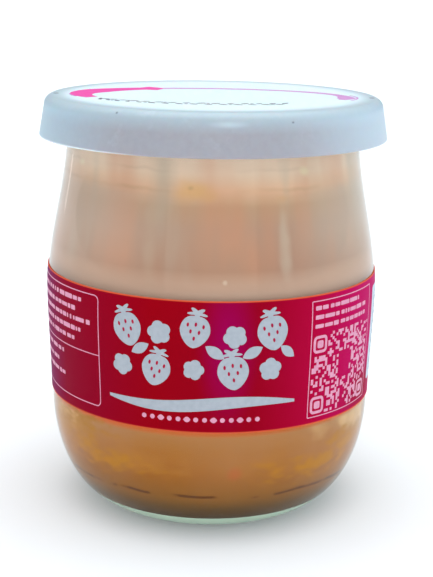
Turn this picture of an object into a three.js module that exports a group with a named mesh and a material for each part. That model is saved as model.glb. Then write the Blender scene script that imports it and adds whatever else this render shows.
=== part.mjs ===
// A small glass yogurt pot: a clear bellied glass, the yogurt that fills it, a plastic lid that presses
// on, and a printed band stuck round the belly.
// Millimetres, +Z up. The origin is the middle of the foot, on the surface that the pot stands on.

import * as THREE from 'three';

// Steps round every turned shape
const SIDES = 60;

// Outside of the glass, from the foot to the lip
const footInnerRadius = 14.4;
const footOuterRadius = 17.8;
const underBaseRise = 1.4;
const heelTopHeight = 20;
const heelTopRadius = 29.55;
const bellyHeight = 40.7;
const bellyRadius = 30.15;
const neckHeight = 68.6;
const neckRadius = 26.35;
const shoulderHandle = 8.3;
const lipRadius = 28.3;
const lipUndersideHeight = 70.4;
const lipTopHeight = 73.6;
const lipRounding = 1.3;

// Inside of the glass
const wallThickness = 2.8;
const floorHeight = 3.7;
const floorRadius = 15;
const floorCrown = 0.4;
const innerHeelHeight = 17.5;
const mouthRadius = 23.7;
const mouthRounding = 1.5;

// Yogurt
const fillHeight = 61.4;
const fillGap = 0.1;

// Lid
const lidBottomHeight = 67.7;
const lidTopHeight = 74.9;
const lidRimRadius = 31.3;
const lidShoulderRadius = 30.4;
const lidShoulderRounding = 1.7;
const lidThickness = 0.9;
const lidEdgeRounding = 0.25;
const snapRibHeight = 69.4;
const snapRibDepth = 0.8;
const snapRibHalfHeight = 0.7;

// Printed band, a little askew: its +X side is the lower one
const bandBottomHeight = 21.2;
const bandTopHeight = 44.2;
const bandSlope = -0.006;
const bandGap = 0.1;
const bandThickness = 0.16;
const bandRows = 8;

// Steps along the curves of the outlines
const undersideSteps = 3;
const heelSteps = 10;
const bellySteps = 3;
const shoulderSteps = 8;
const lipUnderSteps = 2;
const lipSteps = 3;
const innerHeelSteps = 7;
const lidEdgeSteps = 2;
const lidShoulderSteps = 5;
const lidInsideSteps = 3;

// The round of the lip starts this far below its widest point
const lipStartDegrees = -60;

// Least distances between the points of an outline: in general, above the inner heel, and under the brim
const pointSpacing = 0.01;
const heelSpacing = 1;
const brimSpacing = 0.5;

const glassMaterial = new THREE.MeshStandardMaterial({
  color: 0xdfeee8, roughness: 0.04, metalness: 0, transparent: true, opacity: 0.35,
});
const yogurtMaterial = new THREE.MeshStandardMaterial({ color: 0xd2a98c, roughness: 0.55, metalness: 0 });
const lidMaterial = new THREE.MeshStandardMaterial({ color: 0xeef3f5, roughness: 0.4, metalness: 0 });
const bandMaterial = new THREE.MeshStandardMaterial({ color: 0xa3063a, roughness: 0.35, metalness: 0 });

// Points on an ellipse about (r, z), between two angles in degrees
function arc(r, z, radiusAcross, radiusUp, fromDegrees, toDegrees, steps) {
  const points = [];
  for (let i = 0; i <= steps; i += 1) {
    const angle = THREE.MathUtils.degToRad(fromDegrees + ((toDegrees - fromDegrees) * i) / steps);
    points.push(new THREE.Vector2(r + radiusAcross * Math.cos(angle), z + radiusUp * Math.sin(angle)));
  }
  return points;
}

// Points on a curve that leaves and reaches its ends upright
function uprightCurve(start, end, handle, steps) {
  const curve = new THREE.CubicBezierCurve(
    start,
    new THREE.Vector2(start.x, start.y + handle),
    new THREE.Vector2(end.x, end.y - handle),
    end,
  );
  return curve.getPoints(steps);
}

// Joins stretches of outline, leaving out a point that repeats the one before it
function join(...stretches) {
  const outline = [];
  for (const point of stretches.flat()) {
    const last = outline[outline.length - 1];
    if (!last || last.distanceTo(point) > pointSpacing) {
      outline.push(point);
    }
  }
  return outline;
}

// The radius of an outline that only rises, at one height
function radiusAt(outline, height) {
  let i = 1;
  while (i < outline.length - 1 && outline[i].y < height) {
    i += 1;
  }
  const below = outline[i - 1];
  const above = outline[i];
  return THREE.MathUtils.mapLinear(height, below.y, above.y, below.x, above.x);
}

// Turns an outline of (radius, height) points round the Z axis
function turned(outline) {
  const geometry = new THREE.LatheGeometry(outline, SIDES);
  geometry.rotateX(Math.PI / 2);
  return geometry;
}

// The side of the glass from the foot to the neck, as it is seen
function outerSide() {
  const heel = arc(
    footOuterRadius, heelTopHeight, heelTopRadius - footOuterRadius, heelTopHeight, -90, 0, heelSteps,
  );
  const belly = uprightCurve(
    new THREE.Vector2(heelTopRadius, heelTopHeight),
    new THREE.Vector2(bellyRadius, bellyHeight),
    (bellyHeight - heelTopHeight) / 3,
    bellySteps,
  );
  const shoulder = uprightCurve(
    new THREE.Vector2(bellyRadius, bellyHeight),
    new THREE.Vector2(neckRadius, neckHeight),
    shoulderHandle,
    shoulderSteps,
  );
  return join(heel, belly, shoulder);
}

// The inner wall from the middle of the floor to the neck: a soft heel, then the side less the wall
function innerSide(outer) {
  const heelRadius = radiusAt(outer, innerHeelHeight) - wallThickness;
  const crown = [new THREE.Vector2(0, floorHeight + floorCrown)];
  const heel = arc(
    floorRadius, innerHeelHeight, heelRadius - floorRadius, innerHeelHeight - floorHeight,
    -90, 0, innerHeelSteps,
  );
  const wall = outer
    .filter((point) => point.y > innerHeelHeight + heelSpacing)
    .map((point) => new THREE.Vector2(point.x - wallThickness, point.y));
  return join(crown, heel, wall);
}

// The part of an inner wall up to a level, moved in by a gap and closed on the axis at both ends
function fillOutline(inner, level, gap) {
  const below = inner.filter((point) => point.y < level - brimSpacing);
  const wet = below.map((point, i) => new THREE.Vector2(i === 0 ? 0 : point.x - gap, point.y + gap));
  const brim = new THREE.Vector2(radiusAt(inner, level) - gap, level);
  return join(wet, [brim, new THREE.Vector2(0, level)]);
}

function makeGlassPot(outer, inner) {
  const underside = arc(0, 0, footInnerRadius, underBaseRise, 90, 0, undersideSteps);
  const lipMiddle = lipRadius - lipRounding;
  const mouthMiddle = mouthRadius + mouthRounding;
  const lip = join(
    arc(
      lipMiddle, lipUndersideHeight + lipRounding, lipRounding, lipRounding,
      lipStartDegrees, 0, lipUnderSteps,
    ),
    arc(lipMiddle, lipTopHeight - lipRounding, lipRounding, lipRounding, 0, 90, lipSteps),
    arc(mouthMiddle, lipTopHeight - mouthRounding, mouthRounding, mouthRounding, 90, 180, lipSteps),
  );
  const outline = join(underside, outer, lip, [...inner].reverse());
  return new THREE.Mesh(turned(outline), glassMaterial);
}

function makeYogurt(inner) {
  return new THREE.Mesh(turned(fillOutline(inner, fillHeight, fillGap)), yogurtMaterial);
}

// A cap of even thickness with a rounded shoulder, a skirt that flares and a rib that catches on the lip
function makeLid() {
  const innerShoulder = lidShoulderRadius - lidThickness;
  const innerRim = lidRimRadius - lidThickness;
  const innerTop = lidTopHeight - lidThickness;
  const innerRounding = lidShoulderRounding - lidThickness;
  const skirtRadius = (height) => THREE.MathUtils.mapLinear(
    height, lidBottomHeight, innerTop - innerRounding, innerRim, innerShoulder,
  );
  const edge = arc(
    lidRimRadius - lidEdgeRounding, lidBottomHeight + lidEdgeRounding, lidEdgeRounding, lidEdgeRounding,
    -90, 0, lidEdgeSteps,
  );
  const shoulder = arc(
    lidShoulderRadius - lidShoulderRounding, lidTopHeight - lidShoulderRounding,
    lidShoulderRounding, lidShoulderRounding, 0, 90, lidShoulderSteps,
  );
  const insideShoulder = arc(
    innerShoulder - innerRounding, innerTop - innerRounding, innerRounding, innerRounding,
    90, 0, lidInsideSteps,
  );
  const rib = [snapRibHalfHeight, 0, -snapRibHalfHeight].map((offset) => new THREE.Vector2(
    skirtRadius(snapRibHeight + offset) - (offset === 0 ? snapRibDepth : 0),
    snapRibHeight + offset,
  ));
  const outline = join(
    [new THREE.Vector2(0, innerTop)],
    insideShoulder,
    rib,
    [new THREE.Vector2(innerRim, lidBottomHeight)],
    edge,
    shoulder,
    [new THREE.Vector2(0, lidTopHeight)],
  );
  return new THREE.Mesh(turned(outline), lidMaterial);
}

// A thin band that hugs the glass. Its outline closes on itself; each point then drops with the slope
// and moves back onto the side of the glass at its new height.
function makeBand(outer) {
  const rows = [];
  for (let i = 0; i <= bandRows; i += 1) {
    rows.push(THREE.MathUtils.lerp(bandBottomHeight, bandTopHeight, i / bandRows));
  }
  const atGap = (gap) => rows.map((height) => new THREE.Vector2(radiusAt(outer, height) + gap, height));
  const face = atGap(bandGap + bandThickness);
  const back = atGap(bandGap).reverse();
  const geometry = turned([...face, ...back, face[0].clone()]);
  const position = geometry.attributes.position;
  for (let i = 0; i < position.count; i += 1) {
    const x = position.getX(i);
    const y = position.getY(i);
    const height = position.getZ(i);
    const radius = Math.hypot(x, y);
    const lowered = height + bandSlope * x;
    const scale = (radius + radiusAt(outer, lowered) - radiusAt(outer, height)) / radius;
    position.setXYZ(i, x * scale, y * scale, lowered);
  }
  return new THREE.Mesh(geometry, bandMaterial);
}

const outer = outerSide();
const inner = innerSide(outer);
const pieces = {
  glass_pot: makeGlassPot(outer, inner),
  yogurt: makeYogurt(inner),
  lid: makeLid(),
  printed_band: makeBand(outer),
};

const pot = new THREE.Group();
for (const [name, mesh] of Object.entries(pieces)) {
  mesh.name = name;
  pot.add(mesh);
}

export default pot;
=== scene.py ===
import math
import random

import bmesh
import bpy
from mathutils import Matrix, Vector


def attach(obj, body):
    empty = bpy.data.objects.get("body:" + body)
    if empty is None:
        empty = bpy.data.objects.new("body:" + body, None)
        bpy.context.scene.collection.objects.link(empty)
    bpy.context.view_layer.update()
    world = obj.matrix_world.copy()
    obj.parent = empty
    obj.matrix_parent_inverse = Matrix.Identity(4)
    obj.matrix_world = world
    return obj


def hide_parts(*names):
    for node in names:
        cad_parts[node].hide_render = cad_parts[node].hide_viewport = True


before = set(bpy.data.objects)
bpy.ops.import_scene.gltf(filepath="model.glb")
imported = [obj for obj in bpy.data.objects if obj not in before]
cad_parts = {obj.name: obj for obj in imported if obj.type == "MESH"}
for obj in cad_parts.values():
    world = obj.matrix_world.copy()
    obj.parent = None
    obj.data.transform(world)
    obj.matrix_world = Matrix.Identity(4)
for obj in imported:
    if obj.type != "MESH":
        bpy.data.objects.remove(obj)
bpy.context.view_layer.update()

# Lengths below are in millimetres unless a name or a comment says otherwise; MM turns them into metres.
# Angles are in degrees. Colours are screen colours (r, g, b) of 0 to 255.
MM = 0.001

# Outside of the glass, from the foot to the lip; the round of the lip starts at an angle
FOOT_INNER, FOOT_OUTER, UNDER_RISE = 14.4, 17.8, 1.4
HEEL_TOP, HEEL_RADIUS = 20.0, 29.55
BELLY_HEIGHT, BELLY_RADIUS = 40.7, 30.15
NECK_HEIGHT, NECK_RADIUS, SHOULDER_HANDLE = 68.6, 26.35, 8.3
LIP_RADIUS, LIP_UNDER, LIP_TOP, LIP_ROUND, LIP_START = 28.3, 70.4, 73.6, 1.3, -60

# Inside of the glass; its upright wall starts a little above the inner heel
WALL = 2.8
FLOOR_HEIGHT, FLOOR_RADIUS, FLOOR_CROWN, INNER_HEEL, HEEL_SPACING = 3.7, 15.0, 0.4, 17.5, 1
MOUTH_RADIUS, MOUTH_ROUND = 23.7, 1.5

# The heel is painted a pale glow up to this height. What the glass mirrors is dimmed and a little warm, in
# linear light
PAINTED_GLOW_TOP = 3.5
GLASS_ROUGHNESS, GLASS_IOR = 0.06, 1.45
GLASS_SHEEN = (0.62, 0.57, 0.48, 1.0)

# Yogurt: the level, how far it reaches into the wall so that no air shows, the film left above it,
# rings on its surface as shares of its radius, where the painted glow under the band fades, and the sediment
# line
FILL_HEIGHT, FILL_BITE = 61.4, 0.06
SMEAR_TOP, SMEAR, MENISCUS = 69.0, 0.3, 1.2
SURFACE_RINGS = (0.9, 0.75, 0.5, 0.25, 0)
PAINTED_GLOW_UNDER_BAND = (19.5, 20.2)
SEDIMENT = 8.2

# Lid
LID_BOTTOM, LID_TOP = 67.7, 74.9
LID_RIM, LID_SHOULDER, LID_ROUND, LID_THICK, LID_EDGE = 31.3, 30.4, 1.7, 0.9, 0.25
LID_RINGS = (10, 20)
RIB_HEIGHT, RIB_DEPTH, RIB_HALF = 69.4, 0.8, 0.7

# Printed band; a distance along it is an arc at BAND_TURN from the axis
BAND_BOTTOM, BAND_TOP, BAND_SLOPE = 21.2, 44.2, -0.006
BAND_GAP, BAND_THICK = 0.04, 0.14
BAND_TALL = BAND_TOP - BAND_BOTTOM
BAND_TURN = 30.0
SEAM_TURN, SEAM_WIDTH = 182.0, 6.0

# Print: how proud it stands, how deep it starts, and the steps it is cut into so that it can bend
INK, INK_BITE = 0.015, 0.03
SLICE_ACROSS, SLICE_UP = 1.0, 2.0

# Steps round each turned shape and along the curves of its outline
SIDES = 180
UNDER_STEPS, HEEL_STEPS, BELLY_STEPS, SHOULDER_STEPS, LIP_UNDER_STEPS, LIP_STEPS = 10, 40, 12, 32, 5, 8
CROWN_STEPS, INNER_HEEL_STEPS, MENISCUS_STEPS = 6, 24, 6
LID_INNER_STEPS, RIB_STEPS, LID_EDGE_STEPS, LID_SHOULDER_STEPS, BAND_ROWS = 6, 8, 5, 12, 16

# Points of an outline closer than POINT_GAP and corners of a mesh closer than MERGE are one
POINT_GAP, MERGE = 0.005, 0.0005
SHARP_ANGLE = 40

# Front print, as (along, up, width, lean) for the fruit, (along, up, width) for the blossoms and
# (along, up, length, lean) for the leaves. Seeds are placed in shares of a fruit's width.
FRUIT = (
    (-14.2, 17.4, 5.6, 14), (-2.4, 18.0, 5.4, -8), (10.6, 17.6, 5.8, 10), (-9.0, 10.9, 5.4, -12),
    (4.0, 10.9, 5.7, 6),
)
BLOSSOMS = ((-8.4, 17.3, 4.1), (4.2, 17.0, 4.0), (-15.2, 10.9, 3.8), (10.4, 11.1, 4.0), (-2.6, 11.2, 3.6))
LEAVES = ((-11.8, 14.2, 3.6, 30), (0.9, 14.3, 3.8, -35), (7.2, 14.2, 3.8, 28), (13.4, 14.0, 3.3, -40))
SEEDS = ((-0.24, 0.16), (0.0, 0.2), (0.24, 0.16), (-0.13, -0.04), (0.13, -0.04), (0.0, -0.25))
SEED_SIZE = (0.42, 0.75)
STROKE_CENTRE, STROKE_HALF, STROKE_STEPS = (-1.4, 5.0), 16.6, 34
STROKE_TIP, STROKE_SWELL, STROKE_WAVE = 0.5, 1.7, 0.55
DOTS, DOTS_START, DOTS_LENGTH, DOTS_UP = 14, -11.2, 19.6, 2.35

# Side print: panels as (start, end, low, high), with turns from the front and heights above the band's edge
LEFT_PANEL, LEFT_ROWS_END = (-112, -38.5, 2.0, 21.9), -54
RIGHT_PANEL = (34.4, 69, 1.1, 22.0)
WHITE_FIELD = (73.2, 172, 3.3, 20.9)
TABLE, TABLE_COLUMNS = (77, 168, 4.6, 19.6), (118, 124, 136)
PANEL_LINE, TABLE_LINE = 0.17, 0.15
BAR_LENGTHS, BAR_GAPS, BAR_ROUND, LEAST_BAR = (0.5, 0.9, 1.3, 1.9, 2.4), (0.25, 0.25, 0.55), 0.16, 0.6

# The field of squares: the size of a square, the columns and rows, the framed corners, the share filled
# and the bare middle
CELL, COLUMNS, ROWS, CORNER, FILLED = 0.5, 34, 29, 7, 0.4
BARE_COLUMNS, BARE_ROWS = range(13, 20), range(11, 21)

# Lid print: ovals as (half width, half depth), and lines as (oval, start, stop, width, end width)
LID_PRINT_Y, OVAL_STEPS = -2.0, 48
LID_OVAL, OUTER_OVAL = (23.6, 13.2), (25.6, 14.4)
MAUVE_LINES = (
    (LID_OVAL, 16, 114, 2.0, 2.0), (LID_OVAL, 16, -6, 2.0, 3.4), (LID_OVAL, -6, -18, 3.4, 1.2),
    (OUTER_OVAL, 164, 200, 0.4, 0.4), (OUTER_OVAL, -20, 16, 0.4, 0.4),
)
PINK_LINES = (
    (LID_OVAL, 114.2, 119, 1.4, 6.4), (LID_OVAL, 119, 124, 6.4, 3.8), (LID_OVAL, 124, 154, 3.8, 6.0),
    (LID_OVAL, 154, 206, 6.0, 2.4),
)
GARLAND_Y, GARLAND_WIDE, GARLAND_DEEP, GARLAND_LEAVES = -3.6, 23.0, 12.6, 30
GARLAND_START, GARLAND_SPAN = 212, 90
LID_DOT_X = 28.2

# Yogurt colours from the foot to the top of the film, with painted shade darkening them towards the foot and
# painted light brightening the film under the lid
YOGURT_TONES_AND_PAINTED_LIGHT = (
    (0.0, (92, 58, 20)), (0.08, (120, 78, 26)), (0.11, (152, 93, 24)), (0.18, (168, 96, 16)),
    (0.24, (184, 110, 36)), (0.3, (208, 138, 78)), (0.6, (184, 134, 111)), (0.72, (186, 138, 116)),
    (0.8, (196, 150, 127)), (0.85, (210, 160, 128)), (0.89, (250, 194, 158)), (0.93, (255, 216, 190)),
    (1.0, (255, 220, 198)),
)

# Painted sheen, paler towards both sides: where each starts and is full, its strength and colour
PAINTED_SIDE_SHEEN = ((-0.24, -0.7, 0.6, (212, 178, 160)), (0.5, 0.85, 0.45, (212, 190, 174)))

# Thin darker lines near the level, as (height, thickness, strength)
LEVEL_LINES = ((61.3, 0.6, 0.2), (64.6, 0.5, 0.13))

# Spots on the yogurt, some of them painted shadow and painted reflections, as (turn, height, width as a turn,
# tall, strength, colour)
YOGURT_SPOTS_AND_PAINTED_LIGHT = (
    (-6, 61.2, 22, 5.0, 0.5, (240, 176, 100)),
    (-8, 61.8, 2.4, 0.7, 0.3, (176, 116, 80)),
    (28, 60.0, 14, 3.6, 0.35, (236, 168, 100)),
    (38, 64.2, 6, 2.2, 0.6, (250, 224, 186)),
    (-62, 64.0, 6, 2.0, 0.5, (250, 228, 196)),
    (5, 46.6, 1.6, 0.8, 0.45, (248, 224, 200)),
    # A painted shadow under the lid at the left
    (-69, 66.5, 40, 1.8, 0.75, (116, 100, 86)),
    (60, 19.2, 48, 9.0, 0.85, (255, 202, 142)),
    (-64, 20.0, 48, 9.0, 0.65, (244, 178, 96)),
    # Two pale upright streaks, painted reflections
    (27, 54.0, 6, 24.0, 0.35, (218, 194, 172)),
    (-22, 52.0, 9, 26.0, 0.2, (212, 186, 162)),
)

# Patches of painted warm reflection low down, as (turn, height, width as a turn, tall)
WARM_REFLECTION_PATCHES = ((-58, 17.2, 40, 7.5), (-40, 13.2, 44, 4.0), (42, 12.6, 44, 5.0), (62, 15.0, 24, 6.0))

# Lid colours from the middle of the top over the shoulder and down the skirt, painted shade darkening them
# outwards and downwards; specks as (turn, height)
LID_TONES_AND_PAINTED_SHADE = (
    (0.0, (226, 239, 242)), (0.25, (210, 227, 234)), (0.5, (169, 187, 195)), (0.7, (168, 180, 189)),
    (1.0, (160, 158, 166)),
)
LID_SPECKS = ((25, 73.3), (-31, 74.2))

# Band colours once round, from the back by the left to the back again
BAND_TONES = (
    (0.0, (152, 0, 42)), (0.28, (120, 0, 90)), (0.31, (130, 0, 70)), (0.34, (140, 0, 40)),
    (0.4, (144, 0, 32)), (0.45, (150, 0, 18)), (0.54, (146, 0, 28)), (0.6, (176, 2, 56)),
    (0.65, (188, 2, 84)), (0.72, (196, 6, 104)), (1.0, (152, 0, 42)),
)

# Camera, set to the photo's view
CAMERA_PLACE = (1.01, -235.5, 97.77)
CAMERA_PITCH, CAMERA_ROLL = 14.04, 0.9
SENSOR, FOCAL_LENGTH = 36.0, 81.11
CLIP = (0.01, 50)

# Sky brightness from straight down to straight up, in linear light
SKY = (
    (0.0, (0.06, 0.062, 0.065)), (0.5, (0.12, 0.124, 0.13)), (0.75, (0.35, 0.355, 0.36)),
    (0.9, (0.97, 0.985, 1.0)), (1.0, (0.97, 0.985, 1.0)),
)
SKY_STRENGTH = 2.75

# Soft cool light from the right and the left: where it starts and is full across the sky, and its
# strength; its colour is in linear light
SIDE_GLOW = ((0.35, 1.0, 0.34), (-0.35, -1.0, 0.18))
SIDE_COLOUR = (0.45, 0.82, 1.0, 1.0)

# Lamps, as (name, turn, distance and height in metres, size in metres, watts), aimed at LIGHT_TARGET
LAMPS = (
    ("front_fill", 0, 1.6, 0.38, (2.0, 0.8), 5.0),
    ("right_window", 54, 0.6, 0.14, (0.06, 0.5), 0.04),
    ("left_window", -136, 0.6, 0.16, (0.03, 0.3), 0.03),
)
LIGHT_TARGET = (0, 0, 0.045)
FLOOR_HALF = 8


# Outlines

def arc(r, z, across, up, start, stop, steps):
    """Points on an ellipse about (r, z), between two angles."""
    angles = [math.radians(start + (stop - start) * i / steps) for i in range(steps + 1)]
    return [(r + across * math.cos(a), z + up * math.sin(a)) for a in angles]


def upright_curve(start, end, handle, steps):
    """A curve that leaves and reaches its ends upright."""
    points = []
    for i in range(steps + 1):
        t = i / steps
        near, far = (1 - t) ** 2 * (1 + 2 * t), t * t * (3 - 2 * t)
        pull_up, pull_down = 3 * t * (1 - t) ** 2, 3 * t * t * (1 - t)
        radius = start[0] * near + end[0] * far
        height = start[1] * near + end[1] * far + handle * (pull_up - pull_down)
        points.append((radius, height))
    return points


def join(*stretches):
    """One outline from several stretches, without repeated points."""
    outline = []
    for point in (p for stretch in stretches for p in stretch):
        if not outline or math.dist(outline[-1], point) > POINT_GAP:
            outline.append(point)
    return outline


def outer_side():
    """The side of the glass from the foot to the neck."""
    heel = arc(FOOT_OUTER, HEEL_TOP, HEEL_RADIUS - FOOT_OUTER, HEEL_TOP, -90, 0, HEEL_STEPS)
    heel_end, widest = (HEEL_RADIUS, HEEL_TOP), (BELLY_RADIUS, BELLY_HEIGHT)
    neck = (NECK_RADIUS, NECK_HEIGHT)
    belly = upright_curve(heel_end, widest, (BELLY_HEIGHT - HEEL_TOP) / 3, BELLY_STEPS)
    return join(heel, belly, upright_curve(widest, neck, SHOULDER_HANDLE, SHOULDER_STEPS))


def radius_at(outline, height):
    """The radius of a rising outline at one height."""
    for (r0, z0), (r1, z1) in zip(outline, outline[1:]):
        if height <= z1:
            return r0 + (r1 - r0) * (height - z0) / (z1 - z0)
    return outline[-1][0]


def inner_side(outer):
    """The inside of the glass from the middle of its floor to the neck."""
    heel_radius = radius_at(outer, INNER_HEEL) - WALL
    crown = arc(0, FLOOR_HEIGHT, FLOOR_RADIUS, FLOOR_CROWN, 90, 0, CROWN_STEPS)
    heel = arc(
        FLOOR_RADIUS, INNER_HEEL, heel_radius - FLOOR_RADIUS, INNER_HEEL - FLOOR_HEIGHT,
        -90, 0, INNER_HEEL_STEPS,
    )
    wall = [(r - WALL, z) for r, z in outer if z > INNER_HEEL + HEEL_SPACING]
    return join(crown, heel, wall)


OUTER = outer_side()
INNER = inner_side(OUTER)


# Mesh helpers

def new_piece(name, bm, slot, *materials, replaces=()):
    """Makes an object of a bmesh in millimetres, gives it its materials and sets it on the pot."""
    bm.transform(Matrix.Scale(MM, 4))
    mesh = bpy.data.meshes.new(name)
    bm.to_mesh(mesh)
    bm.free()
    for material in materials:
        mesh.materials.append(material)
    mesh.shade_smooth()
    mesh.set_sharp_from_angle(angle=math.radians(SHARP_ANGLE))
    piece = bpy.data.objects.new(name, mesh)
    bpy.context.scene.collection.objects.link(piece)
    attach(piece, "root")
    if replaces:
        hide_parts(*replaces)


def turned(outline, closed=False):
    """Spins an outline of (radius, height) points round the pot's axis."""
    bm = bmesh.new()
    verts = [bm.verts.new((0, -r, z)) for r, z in outline]
    edges = [bm.edges.new(pair) for pair in zip(verts, verts[1:])]
    if closed:
        edges.append(bm.edges.new((verts[-1], verts[0])))
    bmesh.ops.spin(
        bm, geom=verts + edges, cent=(0, 0, 0), axis=(0, 0, 1), angle=math.tau, steps=SIDES, use_merge=True,
    )
    bmesh.ops.remove_doubles(bm, verts=bm.verts, dist=MERGE)
    bmesh.ops.recalc_face_normals(bm, faces=bm.faces)
    return bm


# Flat print: shapes are laid out on a sheet, with u along the band from its front and v up from its
# lower edge, and the sheet is then wrapped round the glass.

def add_bar(sheet, u, v, width, height, rounding=0.0):
    """A rectangle about (u, v), with rounded corners if asked."""
    place = Matrix.Translation((u, v, 0)) @ Matrix.Diagonal((width, height, 1, 1))
    corners = bmesh.ops.create_grid(sheet, x_segments=1, y_segments=1, size=0.5, matrix=place)["verts"]
    if rounding:
        bmesh.ops.bevel(
            sheet, geom=corners, offset=rounding, offset_type="OFFSET", affect="VERTICES", segments=4,
            profile=0.5, material=-1,
        )


def add_frame(sheet, left, right, low, high, rounding, line):
    """The outline of a rounded rectangle."""
    before = set(sheet.faces)
    add_bar(sheet, (left + right) / 2, (low + high) / 2, right - left, high - low, rounding)
    inside = [f for f in sheet.faces if f not in before]
    bmesh.ops.inset_region(sheet, faces=inside, thickness=line, use_boundary=True, use_even_offset=True)
    bmesh.ops.delete(sheet, geom=inside, context="FACES_ONLY")


def add_divider(sheet, left, right, v, line):
    """A line across a framed panel, whose ends lie inside the frame's own line."""
    add_bar(sheet, (left + right) / 2, v, right - left - 0.2, line)


def add_blob(sheet, u, v, width, height, outline, lean=0.0, steps=48):
    """A closed shape about (u, v): outline gives its reach at each angle, from 0 to 1."""
    made = bmesh.ops.create_circle(sheet, cap_ends=True, cap_tris=True, segments=steps, radius=1)["verts"]
    for vert in made:
        if vert.co.length > 0.5:
            vert.co *= outline(math.atan2(vert.co.y, vert.co.x))
    place = (
        Matrix.Translation((u, v, 0)) @ Matrix.Rotation(math.radians(lean), 4, "Z")
        @ Matrix.Diagonal((width / 2, height / 2, 1, 1))
    )
    bmesh.ops.transform(sheet, matrix=place, verts=made)


def add_dot(sheet, u, v, size, steps=12):
    add_blob(sheet, u, v, size, size, round_outline, steps=steps)


def round_outline(angle):
    return 1.0


def berry_outline(angle):
    """Broad shoulders and a blunt tip that points down."""
    down = max(0.0, -math.sin(angle))
    return 0.93 - 0.1 * abs(math.cos(angle)) * down + 0.07 * down ** 6 - 0.1 * max(0.0, math.sin(angle)) ** 8


def blossom_outline(angle):
    """Five round petals."""
    return 0.78 + 0.22 * abs(math.cos(2.5 * (angle - math.pi / 2))) ** 0.7


def leaf_outline(angle):
    """Pointed at both ends of its width."""
    across, up = math.cos(angle) ** 2, abs(math.sin(angle))
    return 1.0 if across < 1e-6 else (math.sqrt(up * up + 4 * across) - up) / (2 * across)


def crown_outline(angle):
    """A little crown of five pointed sepals."""
    return 0.45 + 0.55 * abs(math.cos(2.5 * (angle + math.pi / 2))) ** 2.2


def slice_sheet(sheet):
    """Cuts a sheet along u and v, so that it can bend."""
    for axis, step in ((0, SLICE_ACROSS), (1, SLICE_UP)):
        places = [v.co[axis] for v in sheet.verts]
        for i in range(math.ceil(min(places) / step), math.floor(max(places) / step) + 1):
            point, normal = Vector(), Vector()
            point[axis], normal[axis] = i * step, 1
            everything = sheet.verts[:] + sheet.edges[:] + sheet.faces[:]
            bmesh.ops.bisect_plane(sheet, geom=everything, dist=0.0001, plane_co=point, plane_no=normal)


def thicken(sheet, low, high):
    """Turns a flat sheet into a thin slab between two heights."""
    bmesh.ops.remove_doubles(sheet, verts=sheet.verts, dist=MERGE)
    bmesh.ops.translate(sheet, vec=(0, 0, low), verts=sheet.verts)
    raised = bmesh.ops.extrude_face_region(sheet, geom=sheet.faces)["geom"]
    bmesh.ops.translate(
        sheet, vec=(0, 0, high - low), verts=[g for g in raised if isinstance(g, bmesh.types.BMVert)],
    )
    bmesh.ops.recalc_face_normals(sheet, faces=sheet.faces)


def wrap(sheet):
    """Bends a sheet round the glass: u turns about the axis, v rises and height lifts off the band's back."""
    for vert in sheet.verts:
        u, v, lift = vert.co
        angle = u / BAND_TURN
        x = math.sin(angle)
        height = BAND_BOTTOM + v
        height += BAND_SLOPE * radius_at(OUTER, height) * x
        radius = radius_at(OUTER, height) + BAND_GAP + lift
        vert.co = (radius * x, -radius * math.cos(angle), height)


def print_on_band(name, sheet, material, height=INK):
    slice_sheet(sheet)
    thicken(sheet, BAND_THICK - INK_BITE, BAND_THICK + height)
    wrap(sheet)
    new_piece(name, sheet, "band_paper", material)


def print_on_lid(name, sheet, material, height):
    top = LID_TOP - 2 * INK
    thicken(sheet, top - INK_BITE, top + height)
    new_piece(name, sheet, "lid_plastic", material)


def around(turn):
    """Distance along the band, from its front, of a turn."""
    return math.radians(turn) * BAND_TURN


# Material helpers

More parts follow.
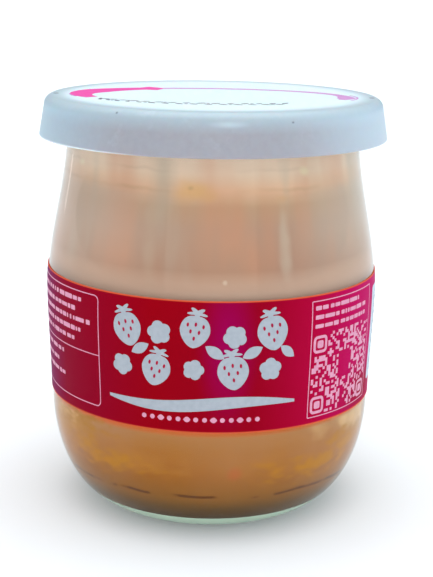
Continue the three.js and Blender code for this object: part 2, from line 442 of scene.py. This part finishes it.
class Nodes:
    """A new material and short ways to fill it."""

    def __init__(self, name):
        self.material = bpy.data.materials.new(name)
        self.material.use_nodes = True
        self.tree = self.material.node_tree
        self.shader = self.tree.nodes["Principled BSDF"]
        self.output = self.tree.nodes["Material Output"]
        self.place = self.add("ShaderNodeTexCoord").outputs["Object"]

    def add(self, kind, **settings):
        node = self.tree.nodes.new(kind)
        for key, value in settings.items():
            setattr(node, key, value)
        return node

    def link(self, source, target):
        self.tree.links.new(source, target)

    def colour(self, source):
        self.link(source, self.shader.inputs["Base Color"])

    def set(self, **values):
        """Sets sockets of the main shader: base_color=..., roughness=... and so on."""
        for key, value in values.items():
            self.shader.inputs[key.replace("_", " ").title().replace("Ior", "IOR")].default_value = value

    def feed(self, socket, value):
        if hasattr(value, "is_output"):
            self.link(value, socket)
        else:
            socket.default_value = value

    def math(self, operation, a, b=0.0, c=0.0):
        node = self.add("ShaderNodeMath", operation=operation)
        for socket, value in zip(node.inputs, (a, b, c)):
            self.feed(socket, value)
        return node.outputs[0]

    def times(self, a, b):
        return self.math("MULTIPLY", a, b)

    def split(self):
        node = self.add("ShaderNodeSeparateXYZ")
        self.link(self.place, node.inputs[0])
        return node.outputs

    def height(self):
        """The height of a point, in millimetres."""
        return self.times(self.split()[2], 1 / MM)

    def turn(self):
        """The turn of a point round the pot's axis, from the front, positive to the right."""
        x, y, z = self.split()
        return self.times(self.math("ARCTAN2", x, self.times(y, -1.0)), 180 / math.pi)

    def reach(self):
        """The distance of a point from the pot's axis, in metres."""
        x, y, z = self.split()
        return self.math("SQRT", self.math("ADD", self.times(x, x), self.times(y, y)))

    def aside(self):
        """How far a point lies to a side: -1 at the pot's left, 0 in front and behind, 1 at its right."""
        return self.math("DIVIDE", self.split()[0], self.reach())

    def off(self, value, middle):
        """How far a value is from a middle one."""
        return self.math("ABSOLUTE", self.math("SUBTRACT", value, middle))

    def patch(self, turn, height, wide, tall, soft=1.0, wobble=None, strength=1.0):
        """Its strength inside an oval on the side of the pot and 0 outside; wide is a turn."""
        across = self.math("DIVIDE", self.math("SUBTRACT", self.turn(), turn), wide / 2)
        up = self.math("DIVIDE", self.math("SUBTRACT", self.height(), height), tall / 2)
        across, up = self.math("POWER", across, 2.0), self.math("POWER", up, 2.0)
        reach = self.math("SQRT", self.math("ADD", across, up))
        if wobble is not None:
            reach = self.math("ADD", reach, wobble)
        return self.scale(reach, 1.0, 1.0 - soft, 0.0, strength, smooth=True)

    def noise(self, scale, detail=2.0, roughness=0.5, stretch=(1, 1, 1), offset=(0, 0, 0)):
        """Noise on Object coordinates, whose scale is in features for each metre."""
        mapping = self.add("ShaderNodeMapping")
        self.link(self.place, mapping.inputs["Vector"])
        mapping.inputs["Scale"].default_value = stretch
        mapping.inputs["Location"].default_value = offset
        node = self.add("ShaderNodeTexNoise")
        self.link(mapping.outputs[0], node.inputs["Vector"])
        node.inputs["Scale"].default_value = scale
        node.inputs["Detail"].default_value = detail
        node.inputs["Roughness"].default_value = roughness
        return node.outputs["Fac"]

    def ramp(self, fac, stops):
        """A colour ramp; stops are (place, colour) pairs."""
        node = self.add("ShaderNodeValToRGB")
        fill_ramp(node, [(place, rgba(colour)) for place, colour in stops])
        self.feed(node.inputs[0], fac)
        return node.outputs[0]

    def scale(self, value, low, high, to_low=0.0, to_high=1.0, smooth=False):
        """Takes a value from one range to another, held at its ends."""
        node = self.add("ShaderNodeMapRange", interpolation_type="SMOOTHSTEP" if smooth else "LINEAR")
        for socket, amount in zip(node.inputs, (value, low, high, to_low, to_high)):
            self.feed(socket, amount)
        return node.outputs[0]

    def mix(self, fac, a, b):
        node = self.add("ShaderNodeMix", data_type="RGBA", blend_type="MIX")
        self.feed(node.inputs[0], fac)
        self.feed(node.inputs[6], a if hasattr(a, "is_output") else rgba(a))
        self.feed(node.inputs[7], b if hasattr(b, "is_output") else rgba(b))
        return node.outputs[2]

    def bump(self, height, strength, distance):
        node = self.add("ShaderNodeBump")
        node.inputs["Strength"].default_value = strength
        node.inputs["Distance"].default_value = distance
        self.link(height, node.inputs["Height"])
        self.link(node.outputs[0], self.shader.inputs["Normal"])


def fill_ramp(node, stops):
    """Sets the stops of a colour ramp, which are (place, linear colour) pairs in rising order."""
    elements = node.color_ramp.elements
    elements[0].position, elements[0].color = stops[0]
    elements[-1].position, elements[-1].color = stops[-1]
    for place, colour in stops[1:-1]:
        elements.new(place).color = colour


def linear(value):
    """One channel of a screen colour as linear light."""
    share = value / 255
    return share / 12.92 if share <= 0.04045 else ((share + 0.055) / 1.055) ** 2.4


def rgba(colour):
    """A screen colour as linear light with alpha."""
    return tuple(linear(c) for c in colour) + (1.0,)


# Materials

def glass_shader(name, transmission):
    """Glass that lamps and soft light pass straight through."""
    m = Nodes(name)
    m.set(
        roughness=GLASS_ROUGHNESS, ior=GLASS_IOR, specular_tint=GLASS_SHEEN, transmission_weight=transmission,
    )
    path = m.add("ShaderNodeLightPath")
    open_to = m.math("MAXIMUM", path.outputs["Is Shadow Ray"], path.outputs["Is Diffuse Ray"])
    clear = m.add("ShaderNodeBsdfTransparent")
    clear.inputs[0].default_value = rgba((244, 249, 246))
    either = m.add("ShaderNodeMixShader")
    m.link(open_to, either.inputs[0])
    m.link(m.shader.outputs[0], either.inputs[1])
    m.link(clear.outputs[0], either.inputs[2])
    m.link(either.outputs[0], m.output.inputs[0])
    return m


def glass_material():
    """Clear glass, deeper in tone where it is seen edge on."""
    m = glass_shader("clear_glass", 1.0)
    edge = m.scale(m.add("ShaderNodeLayerWeight").outputs["Facing"], 0.8, 0.98)
    m.colour(m.mix(edge, (247, 251, 249), (104, 126, 112)))
    return m.material


def foot_glass_material():
    """The thick glass low down, painted a pale green glow for the light it gathers."""
    m = glass_shader("foot_glass", 0.12)
    streak = m.scale(m.noise(110, 2, 0.5, (1, 1, 3.0)), 0.35, 0.65)
    m.colour(m.mix(streak, (202, 230, 204), (196, 224, 198)))
    return m.material


def yogurt_material():
    """Pale yogurt, with painted shade towards the foot, painted streaks and sheen, and painted warm
    reflection low down.
    """
    m = Nodes("strawberry_yogurt")
    z = m.height()
    # Painted shade towards the foot and painted light on the film under the lid, over the yogurt's own tones
    body = m.ramp(m.scale(z, 0.0, SMEAR_TOP), YOGURT_TONES_AND_PAINTED_LIGHT)
    cloud = m.scale(m.noise(70, 3, 0.55, (1, 1, 0.5)), 0.35, 0.7, 0.0, 0.3)
    body = m.mix(m.times(cloud, m.scale(z, 6.0, 16.0)), body, (204, 146, 112))
    wobble = m.scale(m.noise(160, 2), 0.3, 0.7, -0.45, 0.45)

    # Painted reflections: warm and cool upright streaks in the upper half
    painted_streaks = m.noise(130, 2, 0.5, (1, 1, 0.1), (0.02, 0, 0))
    high = m.scale(z, 44.0, 50.0)
    body = m.mix(m.times(m.scale(painted_streaks, 0.52, 0.7), m.times(high, 0.45)), body, (228, 146, 108))
    body = m.mix(m.times(m.scale(painted_streaks, 0.47, 0.3), m.times(high, 0.5)), body, (196, 176, 158))

    # Painted sheen, cooler and paler towards the upper left and right, and painted light, paler just over the
    # band where the band casts shade
    upper = m.times(m.scale(z, 40.0, 54.0), m.scale(z, 63.0, 60.0))
    for start, full, strength, colour in PAINTED_SIDE_SHEEN:
        body = m.mix(m.times(m.scale(m.aside(), start, full, 0.0, strength), upper), body, colour)
    # Painted light just over the band, against the shade the band casts
    over = m.times(m.scale(z, 48.4, 44.8), m.scale(z, 43.0, 44.0, 0.0, 0.8))
    body = m.mix(over, body, (236, 190, 166))

    # The level: thin darker lines, broken along their length, with spots about them
    ragged = m.math("ADD", z, m.scale(m.noise(220, 2, 0.5, (1, 1, 0.2)), 0.3, 0.7, -0.35, 0.35))
    parted = m.scale(m.noise(90, 2, 0.5, (1, 1, 0.1), (0.7, 0, 0)), 0.42, 0.6)
    for level, tall, strength in LEVEL_LINES:
        line = m.scale(m.off(ragged, level), tall, 0.0, 0.0, strength, smooth=True)
        body = m.mix(m.times(line, parted), body, (176, 124, 92))
    for turn, height, wide, tall, strength, colour in YOGURT_SPOTS_AND_PAINTED_LIGHT:
        body = m.mix(m.patch(turn, height, wide, tall, wobble=wobble, strength=strength), body, colour)

    # Painted glow: a warm tone just under the band
    under = m.times(m.scale(z, BAND_BOTTOM, BAND_BOTTOM - 0.5), m.scale(z, *PAINTED_GLOW_UNDER_BAND))
    body = m.mix(m.times(under, 0.85), body, (236, 112, 40))

    # Painted warm reflection low down: mottled orange, mustard patches and an orange spot
    low = m.scale(m.noise(95, 3, 0.6, (1, 1, 1.6), (0.3, 0, 0)), 0.48, 0.62, 0.0, 0.5)
    low = m.times(low, m.times(m.scale(z, 20.0, 15.0), m.scale(z, 8.0, 12.0)))
    body = m.mix(low, body, (196, 122, 46))
    mottle = m.scale(m.noise(260, 3, 0.6, (1, 1, 2.2), (0.6, 0, 0)), 0.3, 0.7, -0.8, 0.5)
    for patch in WARM_REFLECTION_PATCHES:
        body = m.mix(m.patch(*patch, wobble=mottle, strength=0.9), body, (198, 124, 0))
    body = m.mix(m.patch(10, 12.8, 7, 3.2, wobble=wobble, strength=0.5), body, (206, 100, 50))

    # A thin dark line of sediment, broken along its length
    broken = m.scale(m.noise(240, 2, 0.5, (1, 1, 0.1), (0, 0.4, 0)), 0.44, 0.54)
    settled = m.math("ADD", z, m.scale(m.noise(120, 2, 0.5, (1, 1, 0.1)), 0.3, 0.7, -0.3, 0.3))
    line = m.scale(m.off(settled, SEDIMENT), 0.45, 0.1, 0.0, 0.9, smooth=True)
    body = m.mix(m.times(line, broken), body, (100, 44, 0))

    m.colour(body)
    m.set(roughness=0.5, specular_ior_level=0.05)
    return m.material


def lid_material():
    """White on top, with painted shade making it cooler over the shoulder and greyer down the skirt, and
    painted light on the skirt.
    """
    m = Nodes("lid_plastic")
    z = m.height()
    # Painted shade: the tone darkens towards the rim and down the skirt
    out = m.scale(m.reach(), 23.5 * MM, 29.0 * MM, 0.0, 0.5, smooth=True)
    down = m.scale(z, LID_TOP - 0.4, 71.5, 0.0, 0.5)
    tone = m.ramp(m.math("ADD", out, down), LID_TONES_AND_PAINTED_SHADE)
    grain = m.scale(m.noise(900, 2), 0.3, 0.7, 0.0, 0.06)
    scuff = m.scale(m.noise(240, 4, 0.6), 0.62, 0.75, 0.0, 0.16)
    tone = m.mix(m.math("ADD", grain, scuff), tone, (214, 222, 230))
    tone = m.mix(m.patch(5, 73.1, 16, 1.6, strength=0.5), tone, (206, 222, 230))
    for turn, height in LID_SPECKS:
        tone = m.mix(m.patch(turn, height, 1.3, 0.5, 0.8), tone, (120, 124, 134))

    # Painted light on the skirt: a cool sheen down both sides, paler at the right, and a painted highlight on
    # the lower rim at the left
    skirt = m.scale(z, 74.6, 73.0, 0.0, 0.6)
    sides = m.scale(m.math("ABSOLUTE", m.aside()), 0.5, 0.96)
    tone = m.mix(m.times(sides, skirt), tone, (170, 203, 219))
    tone = m.mix(m.times(m.scale(m.aside(), 0.34, 0.87, 0.0, 0.6), skirt), tone, (210, 214, 224))
    tone = m.mix(m.patch(-58, LID_BOTTOM, 90, 0.9, 0.7, strength=0.8), tone, (240, 248, 252))
    m.colour(tone)
    m.set(roughness=0.42, subsurface_weight=0.3, subsurface_scale=0.002)
    m.bump(m.noise(2600, 2), 0.12, 0.00002)
    return m.material


def band_material():
    """Crimson print that turns to magenta at the sides, with a thin bare edge above and below and a painted
    magenta reflection across the front.
    """
    m = Nodes("band_paper")
    colour = m.ramp(m.scale(m.turn(), -180.0, 180.0), BAND_TONES)
    # A painted reflection: a magenta streak across the front
    colour = m.mix(m.patch(6, 36.0, 23, 34, strength=0.8), colour, (154, 0, 92))
    colour = m.mix(m.patch(66, 24.0, 44, 14, strength=0.85), colour, (150, 0, 26))
    colour = m.mix(m.scale(m.noise(45, 2), 0.4, 0.7, 0.0, 0.2), colour, (162, 0, 14))
    rise = m.math("MULTIPLY_ADD", m.split()[0], -BAND_SLOPE / MM, m.height())
    for edge, inward in ((BAND_BOTTOM, 1), (BAND_TOP, -1)):
        colour = m.mix(m.scale(rise, edge + 0.26 * inward, edge + 0.12 * inward), colour, (226, 92, 60))
    m.colour(colour)
    m.set(roughness=0.5, specular_ior_level=0.02)
    m.bump(m.noise(1500, 3), 0.05, 0.00002)
    return m.material


def ink_material(name, colour, other):
    """Ink of one colour with fine specks of another."""
    m = Nodes(name)
    m.colour(m.mix(m.scale(m.noise(1200, 2), 0.35, 0.65), colour, other))
    m.set(roughness=0.45, specular_ior_level=0.1)
    return m.material


def floor_material():
    m = Nodes("pale_floor")
    m.colour(m.mix(m.noise(3, 2), (243, 243, 243), (240, 241, 242)))
    m.set(roughness=0.9, specular_ior_level=0.1)
    return m.material


# Glass, yogurt, lid and band

def make_glass():
    underside = arc(0, 0, FOOT_INNER, UNDER_RISE, 90, 0, UNDER_STEPS)
    lip_middle, mouth_middle = LIP_RADIUS - LIP_ROUND, MOUTH_RADIUS + MOUTH_ROUND
    lip = join(
        arc(lip_middle, LIP_UNDER + LIP_ROUND, LIP_ROUND, LIP_ROUND, LIP_START, 0, LIP_UNDER_STEPS),
        arc(lip_middle, LIP_TOP - LIP_ROUND, LIP_ROUND, LIP_ROUND, 0, 90, LIP_STEPS),
        arc(mouth_middle, LIP_TOP - MOUTH_ROUND, MOUTH_ROUND, MOUTH_ROUND, 90, 180, LIP_STEPS),
    )
    bm = turned(join(underside, OUTER, lip, INNER[::-1]))
    # The heel's faces take the foot glass, painted with a pale glow
    for face in bm.faces:
        middle = face.calc_center_median()
        if middle.z < PAINTED_GLOW_TOP and middle.xy.length > FOOT_OUTER:
            face.material_index = 1
    new_piece("glass_wall", bm, "glass", glass_material(), foot_glass_material(), replaces=("glass_pot",))


def make_yogurt():
    """The fill, with the film that it leaves on the wall above its level."""
    wall = [(0, INNER[0][1] - FILL_BITE)]
    wall += [(r + FILL_BITE, z - FILL_BITE) for r, z in INNER[1:] if z < SMEAR_TOP]
    smear = [(r - SMEAR, z) for r, z in wall if z > FILL_HEIGHT + MENISCUS][::-1]
    brim = radius_at(INNER[CROWN_STEPS + 1:], FILL_HEIGHT) - SMEAR
    bowl = arc(brim - MENISCUS, FILL_HEIGHT + MENISCUS, MENISCUS, MENISCUS, 0, -90, MENISCUS_STEPS)
    surface = [(brim * share, FILL_HEIGHT) for share in SURFACE_RINGS]
    bm = turned(join(wall, smear, bowl, surface))
    new_piece("yogurt_fill", bm, "yogurt", yogurt_material(), replaces=("yogurt",))


def make_lid():
    inner_shoulder, inner_rim = LID_SHOULDER - LID_THICK, LID_RIM - LID_THICK
    inner_top, inner_round = LID_TOP - LID_THICK, LID_ROUND - LID_THICK
    top = LID_TOP - 2 * INK

    def skirt(height):
        share = (height - LID_BOTTOM) / (inner_top - inner_round - LID_BOTTOM)
        return inner_rim + (inner_shoulder - inner_rim) * share

    rib = []
    for i in range(RIB_STEPS + 1):
        angle = math.pi * i / RIB_STEPS
        height = RIB_HEIGHT + RIB_HALF * math.cos(angle)
        rib.append((skirt(height) - RIB_DEPTH * math.sin(angle), height))
    bm = turned(join(
        [(r, inner_top) for r in (0,) + LID_RINGS],
        arc(
            inner_shoulder - inner_round, inner_top - inner_round, inner_round, inner_round,
            90, 0, LID_INNER_STEPS,
        ),
        rib,
        [(inner_rim, LID_BOTTOM)],
        arc(LID_RIM - LID_EDGE, LID_BOTTOM + LID_EDGE, LID_EDGE, LID_EDGE, -90, 0, LID_EDGE_STEPS),
        arc(LID_SHOULDER - LID_ROUND, top - LID_ROUND, LID_ROUND, LID_ROUND, 0, 90, LID_SHOULDER_STEPS),
        [(r, top) for r in LID_RINGS[::-1] + (0,)],
    ))
    new_piece("lid_cap", bm, "lid_plastic", lid_material(), replaces=("lid",))


def make_band():
    """The band itself, askew as in the photo, and the overlap at its back."""
    paper = band_material()
    levels = [BAND_BOTTOM + BAND_TALL * i / BAND_ROWS for i in range(BAND_ROWS + 1)]
    face = [(radius_at(OUTER, z) + BAND_GAP + BAND_THICK, z) for z in levels]
    back = [(radius_at(OUTER, z) + BAND_GAP, z) for z in levels[::-1]]
    bm = turned(face + back, closed=True)
    for vert in bm.verts:
        x, y, height = vert.co
        radius = math.hypot(x, y)
        lowered = height + BAND_SLOPE * x
        grown = (radius + radius_at(OUTER, lowered) - radius_at(OUTER, height)) / radius
        vert.co = (x * grown, y * grown, lowered)
    new_piece("band_wrap", bm, "band_paper", paper, replaces=("printed_band",))

    seam = bmesh.new()
    add_bar(seam, around(SEAM_TURN), BAND_TALL / 2, SEAM_WIDTH, BAND_TALL)
    print_on_band("band_seam", seam, paper, BAND_THICK)


# Print on the band

def make_front_print():
    """Pale fruit, leaves and blossoms over a tapered stroke, in the middle of the band."""
    pale = bmesh.new()
    for u, v, size, lean in FRUIT:
        add_blob(pale, u, v, size, size * 1.12, berry_outline, lean)
        top = Matrix.Rotation(math.radians(lean), 2) @ Vector((0, size * 0.56))
        add_blob(pale, u + top.x, v + top.y, size * 0.66, size * 0.36, crown_outline, lean)
    for u, v, size in BLOSSOMS:
        add_blob(pale, u, v, size, size, blossom_outline, u * 7)
    for u, v, length, lean in LEAVES:
        add_blob(pale, u, v, length, length * 0.5, leaf_outline, lean)
    for vert in bmesh.ops.create_grid(pale, x_segments=STROKE_STEPS, y_segments=1, size=0.5)["verts"]:
        along, side = vert.co.x * 2, math.copysign(1, vert.co.y)
        thick = STROKE_TIP + STROKE_SWELL * (1 - along * along)
        up = STROKE_CENTRE[1] + STROKE_WAVE * math.sin(3.1 * along) + side * thick / 2
        vert.co = (STROKE_CENTRE[0] + STROKE_HALF * along, up, 0)
    print_on_band("front_print", pale, ink_material("pale_grey_ink", (176, 181, 189), (168, 174, 183)))

    seeds = bmesh.new()
    for u, v, size, lean in FRUIT:
        turn = Matrix.Rotation(math.radians(lean), 2)
        for across, up in SEEDS:
            spot = turn @ Vector((across * size, up * size))
            add_blob(seeds, u + spot.x, v + spot.y, *SEED_SIZE, round_outline, lean, steps=10)
    print_on_band("seed_print", seeds, ink_material("seed_ink", (176, 10, 50), (168, 8, 60)), 2 * INK)


def add_dot_row(sheet):
    """A row of dots under the stroke, with a small leaf for every third."""
    for i in range(DOTS):
        u = DOTS_START + DOTS_LENGTH * i / (DOTS - 1)
        if i % 3 == 2:
            add_blob(sheet, u, DOTS_UP, 1.25, 1.0, leaf_outline, 0, steps=16)
        else:
            add_dot(sheet, u, DOTS_UP, 0.85)


def add_rows(sheet, draw, left, right, low, high, rows, bar_height):
    """Rows of broken bars between two heights, of uneven length."""
    for row in range(rows):
        v = high - (row + 0.5) * (high - low) / rows
        u = left
        stop = right - draw.uniform(0, 0.25) * (right - left)
        while u < stop - LEAST_BAR:
            length = min(draw.choice(BAR_LENGTHS), stop - u)
            add_bar(sheet, u + length / 2, v, length, bar_height * draw.uniform(0.8, 1.0), BAR_ROUND)
            u += length + draw.choice(BAR_GAPS)


def add_squares(sheet, draw, left, low):
    """A field of squares filled at random, with three framed corners and a bare middle."""
    corners = ((0, 0), (COLUMNS - CORNER, 0), (0, ROWS - CORNER))
    for row in range(ROWS):
        for column in range(COLUMNS):
            near_corner = any(c - 1 < column < c + CORNER and r - 1 < row < r + CORNER for c, r in corners)
            bare = column in BARE_COLUMNS and row in BARE_ROWS
            if not near_corner and not bare and draw.random() < FILLED:
                add_bar(sheet, left + (column + 0.5) * CELL, low + (row + 0.5) * CELL, CELL, CELL)
    width = (CORNER - 0.6) * CELL
    for column, row in corners:
        u, v = left + column * CELL, low + row * CELL
        add_frame(sheet, u + 0.1, u + width, v + 0.1, v + width, 0.8, 0.5)
        add_bar(sheet, u + 0.05 + width / 2, v + 0.05 + width / 2, 1.35, 1.35, 0.35)


def make_side_print():
    """The framed panels on both sides, in pale pink, and the white field with its table."""
    draw = random.Random(7)
    small = bmesh.new()
    add_dot_row(small)

    left, right, low, high = around(LEFT_PANEL[0]), around(LEFT_PANEL[1]), *LEFT_PANEL[2:]
    add_frame(small, left, right, low, high, 1.0, PANEL_LINE)
    add_divider(small, left, right, 11.3, PANEL_LINE)
    add_rows(small, draw, left + 1.2, right - 1.4, 12.2, 21.3, 5, 0.85)
    add_rows(small, draw, left + 1.2, around(LEFT_ROWS_END), 4.6, 10.9, 3, 0.8)

    left, right, low, high = around(RIGHT_PANEL[0]), around(RIGHT_PANEL[1]), *RIGHT_PANEL[2:]
    add_frame(small, left, right, low, high, 0.25, PANEL_LINE)
    add_rows(small, draw, left + 0.8, right - 0.6, 16.7, 21.5, 3, 0.8)
    add_squares(small, draw, left + 0.5, low + 0.5)
    print_on_band("side_print", small, ink_material("pale_pink_ink", (228, 160, 184), (220, 148, 176)))

    field = bmesh.new()
    left, right, low, high = around(WHITE_FIELD[0]), around(WHITE_FIELD[1]), *WHITE_FIELD[2:]
    add_bar(field, (left + right) / 2, (low + high) / 2, right - left, high - low, 0.8)
    print_on_band("white_field", field, ink_material("white_ink", (204, 214, 226), (199, 209, 222)))

    lines = bmesh.new()
    left, right, low, high = around(TABLE[0]), around(TABLE[1]), *TABLE[2:]
    title_end, first_end, second_start = (around(turn) for turn in TABLE_COLUMNS)
    add_frame(lines, left, right, low, high, 0.3, TABLE_LINE)
    add_divider(lines, left, right, 16.6, TABLE_LINE)
    add_rows(lines, draw, left + 1.2, first_end, 5.2, 16.2, 6, 0.75)
    add_rows(lines, draw, second_start, right - 1.4, 5.2, 16.2, 6, 0.75)
    add_rows(lines, draw, left + 1.2, title_end, 17.0, 19.2, 1, 0.9)
    print_on_band("table_print", lines, ink_material("grey_ink", (128, 138, 154), (118, 128, 146)), 2 * INK)


# Print on the lid

def add_oval_line(sheet, oval, start, stop, width, end_width):
    """A line along an oval on the lid, between two angles, that may taper."""
    across, deep = oval
    for vert in bmesh.ops.create_grid(sheet, x_segments=OVAL_STEPS, y_segments=1, size=0.5)["verts"]:
        share, side = vert.co.x + 0.5, vert.co.y
        angle = math.radians(start + (stop - start) * share)
        offset = side * (width + (end_width - width) * share)
        normal = Vector((math.cos(angle) / across, math.sin(angle) / deep)).normalized()
        x, y = across * math.cos(angle), LID_PRINT_Y + deep * math.sin(angle)
        vert.co = (x + offset * normal.x, y + offset * normal.y, 0)


def make_lid_print():
    """A mauve oval line with a pink brush stroke at one end, over a dark garland of leaves and berries."""
    mauve, pink, dark = bmesh.new(), bmesh.new(), bmesh.new()
    for sheet, lines in ((mauve, MAUVE_LINES), (pink, PINK_LINES)):
        for line in lines:
            add_oval_line(sheet, *line)
    mauve_ink = ink_material("lid_mauve_ink", (206, 150, 200), (198, 142, 196))
    print_on_lid("lid_mauve_print", mauve, mauve_ink, INK)
    pink_ink = ink_material("lid_pink_ink", (232, 70, 158), (228, 84, 166))
    print_on_lid("lid_pink_print", pink, pink_ink, 2 * INK)

    draw = random.Random(3)
    for i in range(GARLAND_LEAVES):
        angle = math.radians(GARLAND_START + GARLAND_SPAN * i / (GARLAND_LEAVES - 1))
        u, v = GARLAND_WIDE * math.cos(angle), GARLAND_Y + GARLAND_DEEP * math.sin(angle)
        along = math.degrees(math.atan2(GARLAND_DEEP * math.cos(angle), -GARLAND_WIDE * math.sin(angle)))
        side = 1 if i % 2 else -1
        length = draw.uniform(1.5, 2.1)
        add_blob(dark, u, v + 0.75 * side, length, 0.45 * length, leaf_outline, along + 38 * side, steps=12)
        if i % 3 == 0:
            add_dot(dark, u, v - 0.8 * side, 0.6)
    for side in (-1, 1):
        add_dot(dark, side * LID_DOT_X, LID_PRINT_Y, 1.0)
    print_on_lid("lid_dark_print", dark, ink_material("lid_dark_ink", (96, 92, 104), (120, 114, 126)), INK)


# Floor, light and camera

def add_to_scene(name, data):
    made = bpy.data.objects.new(name, data)
    bpy.context.scene.collection.objects.link(made)
    return made


def make_camera():
    data = bpy.data.cameras.new("photo_camera")
    data.sensor_width = SENSOR
    data.lens = FOCAL_LENGTH
    data.clip_start, data.clip_end = CLIP
    camera = add_to_scene("photo_camera", data)
    pitch = Matrix.Rotation(math.radians(90 - CAMERA_PITCH), 4, "X")
    roll = Matrix.Rotation(math.radians(CAMERA_ROLL), 4, "Z")
    camera.matrix_world = Matrix.Translation(Vector(CAMERA_PLACE) * MM) @ pitch @ roll
    bpy.context.scene.camera = camera


def make_floor():
    bm = bmesh.new()
    bmesh.ops.create_grid(bm, x_segments=2, y_segments=2, size=FLOOR_HALF)
    mesh = bpy.data.meshes.new("floor")
    bm.to_mesh(mesh)
    bm.free()
    mesh.materials.append(floor_material())
    add_to_scene("floor", mesh)


def add_lamp(name, turn, distance, height, size, power):
    data = bpy.data.lights.new(name, "AREA")
    data.shape = "RECTANGLE"
    data.size, data.size_y = size
    data.energy = power
    angle = math.radians(turn)
    place = Vector((distance * math.sin(angle), -distance * math.cos(angle), height))
    aim = (Vector(LIGHT_TARGET) - place).to_track_quat("-Z", "Y").to_matrix().to_4x4()
    add_to_scene(name, data).matrix_world = Matrix.Translation(place) @ aim


def make_sky():
    """A soft sky with a cool glow at both sides, and plain white behind for the camera."""
    world = bpy.data.worlds.new("soft_sky")
    world.use_nodes = True
    tree = world.node_tree
    place = tree.nodes.new("ShaderNodeTexCoord")
    split = tree.nodes.new("ShaderNodeSeparateXYZ")
    ramp = tree.nodes.new("ShaderNodeValToRGB")
    tree.links.new(place.outputs["Generated"], split.inputs[0])
    tree.links.new(split.outputs[2], ramp.inputs[0])
    fill_ramp(ramp, [(height, colour + (1,)) for height, colour in SKY])
    colour = ramp.outputs[0]
    for start, stop, strength in SIDE_GLOW:
        lobe = tree.nodes.new("ShaderNodeMapRange")
        lobe.interpolation_type = "SMOOTHSTEP"
        tree.links.new(split.outputs[0], lobe.inputs[0])
        for socket, amount in zip(lobe.inputs[1:], (start, stop, 0.0, strength)):
            socket.default_value = amount
        add = tree.nodes.new("ShaderNodeMix")
        add.data_type, add.blend_type = "RGBA", "ADD"
        tree.links.new(lobe.outputs[0], add.inputs[0])
        tree.links.new(colour, add.inputs[6])
        add.inputs[7].default_value = SIDE_COLOUR
        colour = add.outputs[2]

    sky, backdrop = tree.nodes["Background"], tree.nodes.new("ShaderNodeBackground")
    tree.links.new(colour, sky.inputs[0])
    sky.inputs[1].default_value = SKY_STRENGTH
    backdrop.inputs[0].default_value = (1, 1, 1, 1)
    either = tree.nodes.new("ShaderNodeMixShader")
    tree.links.new(tree.nodes.new("ShaderNodeLightPath").outputs["Is Camera Ray"], either.inputs[0])
    tree.links.new(sky.outputs[0], either.inputs[1])
    tree.links.new(backdrop.outputs[0], either.inputs[2])
    tree.links.new(either.outputs[0], tree.nodes["World Output"].inputs[0])
    bpy.context.scene.world = world


def make_light():
    make_sky()
    for lamp in LAMPS:
        add_lamp(*lamp)


def set_view():
    """Shows colours as they are, without a film look."""
    view = bpy.context.scene.view_settings
    view.view_transform = "Standard"
    view.look = "None"


make_camera()
make_floor()
make_light()
set_view()
make_glass()
make_yogurt()
make_lid()
make_band()
make_front_print()
make_side_print()
make_lid_print()
